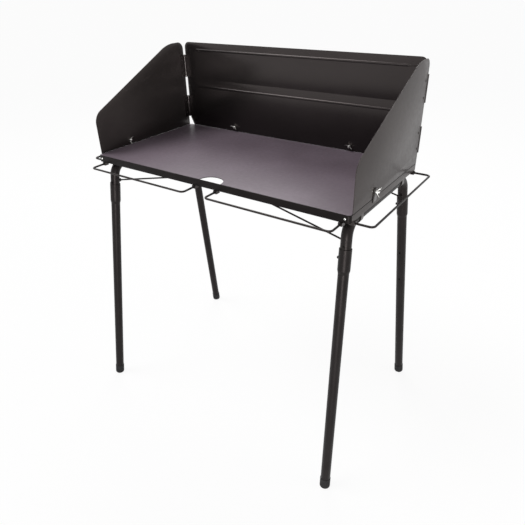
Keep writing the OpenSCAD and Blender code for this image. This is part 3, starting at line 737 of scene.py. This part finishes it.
nut_places = {
    "nut_back_left": ("back_left_nut", (-BACK_BOLT_X, BACK_SEAT, BOLT_Z), (0, -1, 0)),
    "nut_back_right": ("back_right_nut", (BACK_BOLT_X, BACK_SEAT, BOLT_Z), (0, -1, 0)),
    "nut_left": ("left_wing_nut", (LEFT_SEAT, SIDE_BOLT_Y, BOLT_Z), (1, 0, 0)),
    "nut_right": ("right_wing_nut", (RIGHT_SEAT, SIDE_BOLT_Y, BOLT_Z), (1, 0, 0)),
}
for name, (node, point, axis) in nut_places.items():
    dress(place(copy_of(nut, name), point, axis, NUT_TURN), node)
drop(nut)

# %% [markdown]
# ## Rubber feet
# A moulded cap is pushed over the end of each leg. It has a rolled lip, three shallow grip rings
# and a rounded tread that is worn flat where it stands. The cap is turned upright and pointed
# along the leg, and the floor then cuts its tread flat with a bisect that also fills the cut.

# %% Mould the feet
LEG_CORNER = Vector((436, 190, 862)) * MM
LEG_FOOT = Vector((479, 317, 0)) * MM
CAP_R, CAP_BORE, CAP_EDGE = 16.3 * MM, 15.05 * MM, 7 * MM
CAP_FLOOR, CAP_UP = 6 * MM, 28 * MM
CAP_BOTTOM = -2.3 * MM
CAP_TIP_R = 0.5 * MM
EDGE_STEPS = 8
GROOVE = 0.5 * MM
GROOVE_HEIGHTS = (11 * MM, 16 * MM, 21 * MM)
LIP_EDGE = 0.4 * MM

cap_rings = [(CAP_TIP_R, CAP_BOTTOM), (CAP_R - CAP_EDGE, CAP_BOTTOM)]
for step in range(1, EDGE_STEPS + 1):
    angle = step / EDGE_STEPS * math.pi / 2
    cap_rings.append((CAP_R - CAP_EDGE + CAP_EDGE * math.sin(angle),
                      CAP_BOTTOM + CAP_EDGE * (1 - math.cos(angle))))
for start in GROOVE_HEIGHTS:
    cap_rings += [(CAP_R, start), (CAP_R - GROOVE, start + GROOVE)]
    cap_rings += [(CAP_R - GROOVE, start + 3 * GROOVE), (CAP_R, start + 4 * GROOVE)]
lip = CAP_FLOOR + CAP_UP
cap_rings += [(CAP_R, lip - 2 * LIP_EDGE), (CAP_R - LIP_EDGE, lip - LIP_EDGE / 2)]
cap_rings += [(CAP_R - 2 * LIP_EDGE, lip), (CAP_BORE, lip), (CAP_BORE, CAP_FLOOR)]
cap_rings.append((CAP_TIP_R, CAP_FLOOR))
cap = turned("cap_pattern", cap_rings, sides=48)
for side, side_name in ((-1, "left"), (1, "right")):
    for end, end_name in ((-1, "front"), (1, "rear")):
        corner = Vector((side * LEG_CORNER.x, end * LEG_CORNER.y, LEG_CORNER.z))
        foot = Vector((side * LEG_FOOT.x, end * LEG_FOOT.y, LEG_FOOT.z))
        foot_cap = place(copy_of(cap, f"foot_{end_name}_{side_name}"), foot, corner - foot)
        edit(foot_cap)
        bpy.ops.mesh.select_all(action="SELECT")
        bpy.ops.mesh.bisect(plane_co=(0, 0, 0), plane_no=(0, 0, 1), use_fill=True, clear_inner=True,
                            threshold=HAIR / 10)
        bpy.ops.object.mode_set(mode="OBJECT")
        dress(foot_cap, f"{end_name}_{side_name}_foot_cap")
drop(cap)

# %% [markdown]
# ## The floor
# The table stands on a plain white floor. A real studio floor looks white because it is lit as
# strongly as the table, but here that would wash out the paint. So the floor mixes a matt paint,
# which takes the table's shadow, with a glow that only the camera and reflections see.

# %% Lay the floor
FLOOR_SIZE = 120
FLOOR_GLOW = 0.9
FLOOR_GREY, FLOOR_ROUGH = 0.9, 0.9


def seen_directly(tree):
    """1 for rays from the camera, from a mirror or through glass, and 0 for stray light."""
    path = tree.nodes.new("ShaderNodeLightPath")
    first = tree.nodes.new("ShaderNodeMath")
    first.operation = "MAXIMUM"
    second = tree.nodes.new("ShaderNodeMath")
    second.operation = "MAXIMUM"
    node_link(tree, path.outputs["Is Camera Ray"], first.inputs[0])
    node_link(tree, path.outputs["Is Glossy Ray"], first.inputs[1])
    node_link(tree, first.outputs[0], second.inputs[0])
    node_link(tree, path.outputs["Is Transmission Ray"], second.inputs[1])
    return second.outputs[0]


deselect()
bpy.ops.mesh.primitive_plane_add(size=FLOOR_SIZE, location=(0, 0, 0))
floor = settle("studio_floor")
floor_paint = bpy.data.materials.new("white studio floor")
floor_paint.use_nodes = True
tree = floor_paint.node_tree
paint = tree.nodes["Principled BSDF"]
paint.inputs["Base Color"].default_value = (FLOOR_GREY, FLOOR_GREY, FLOOR_GREY, 1)
paint.inputs["Roughness"].default_value = FLOOR_ROUGH
paint.inputs["Specular IOR Level"].default_value = 0
glow = tree.nodes.new("ShaderNodeEmission")
share = tree.nodes.new("ShaderNodeMath")
share.operation = "MULTIPLY"
share.inputs[1].default_value = FLOOR_GLOW
both = tree.nodes.new("ShaderNodeMixShader")
node_link(tree, seen_directly(tree), share.inputs[0])
node_link(tree, share.outputs[0], both.inputs[0])
node_link(tree, paint.outputs[0], both.inputs[1])
node_link(tree, glow.outputs[0], both.inputs[2])
node_link(tree, both.outputs[0], tree.nodes["Material Output"].inputs["Surface"])
floor.data.materials.append(floor_paint)
print("floor", FLOOR_SIZE, "m wide")

# %% [markdown]
# ## The surroundings
# A dark, glossy object mirrors the room, so the room is part of its looks. A backdrop could be
# modelled, but a white world does the same from every side. Rays from the camera and from
# reflections see it at full white, and the stray light that falls on the table is weaker.

# %% White surroundings
STRAY = 0.4
world = bpy.data.worlds.new("white studio")
bpy.context.scene.world = world
world.use_nodes = True
sky = world.node_tree
bright = sky.nodes.new("ShaderNodeMapRange")
bright.inputs["To Min"].default_value = STRAY
bright.inputs["To Max"].default_value = 1
node_link(sky, seen_directly(sky), bright.inputs["Value"])
node_link(sky, bright.outputs["Result"], sky.nodes["Background"].inputs["Strength"])
sky.nodes["Background"].inputs["Color"].default_value = (1, 1, 1, 1)
print("stray light", STRAY)

# %% [markdown]
# ## The lamps
# Large lamps give the soft edges of studio light. A wide key light from the front left gives the
# base light and the shadow, and a low fill lifts the back sheet and the legs. A box on the right
# picks out the outer face of the right wing and the side rim, and a box behind and to the left
# lies near where the satin top mirrors it, so the top shows its sheen.

# %% Set the lamps
KEY_AT, KEY_AIM = (-2.5, -1.3, 4.2), (0, 0, 0)
KEY_POWER, KEY_SPREAD = 1.3, math.radians(30)
# Each softbox: where it stands, where it points, its width and height, its watts and its tint
SOFTBOXES = {
    "low_fill": ((1.8, -3.2, 0.35), (-0.1, 0.2, 1.05), (1.2, 0.6), 60, PLAIN),
    "right_box": ((3.2, 0.9, 1.9), (0.4, 0, 0.8), (1.6, 1.6), 20, (1, 0.93, 0.89)),
    "rear_box": ((-1.9, 2.2, 3.6), (0, -0.2, 0.9), (2.2, 1.6), 70, PLAIN),
}


def lamp(name, kind, place_at, aim_at, power, tint=PLAIN):
    deselect()
    bpy.ops.object.light_add(type=kind, location=place_at)
    light = bpy.context.object
    light.name = name
    light.rotation_mode = "QUATERNION"
    light.rotation_quaternion = (Vector(aim_at) - Vector(place_at)).to_track_quat("-Z", "Y")
    light.data.energy = power
    light.data.color = tint
    print("lamp", name, power)
    return light.data


key = lamp("key", "SUN", KEY_AT, KEY_AIM, KEY_POWER)
key.angle = KEY_SPREAD
for name, (place_at, aim_at, size, watts, tint) in SOFTBOXES.items():
    box = lamp(name, "AREA", place_at, aim_at, watts, tint)
    box.shape = "RECTANGLE"
    box.size, box.size_y = size

# %% [markdown]
# ## The camera
# The photograph was taken from the right front and above, fairly close, so the near leg looks
# long. The lens and the place come from matching corners of the real table in the picture with
# the same corners of the model. A camera looks along its own -Z, so its turn is built from an
# azimuth, an elevation and a slight roll.

# %% Set the camera
FOCUS_PX, IMAGE_PX, SENSOR = 489.85, 525, 36
CAMERA_AT = (0.90011, -1.22452, 1.40374)
AZIMUTH, ELEVATION, ROLL = math.radians(35.24), math.radians(30.37), math.radians(-1.46)
deselect()
bpy.ops.object.camera_add(location=CAMERA_AT)
camera = bpy.context.object
camera.rotation_mode = "QUATERNION"
turn = (Matrix.Rotation(AZIMUTH, 3, "Z") @ Matrix.Rotation(math.pi / 2 - ELEVATION, 3, "X")
        @ Matrix.Rotation(ROLL, 3, "Z"))
camera.rotation_quaternion = turn.to_quaternion()
camera.data.sensor_width = SENSOR
camera.data.lens = FOCUS_PX / IMAGE_PX * SENSOR
bpy.context.scene.camera = camera
bpy.context.scene.view_settings.view_transform = "Standard"
print("camera lens", round(camera.data.lens, 2), "mm")
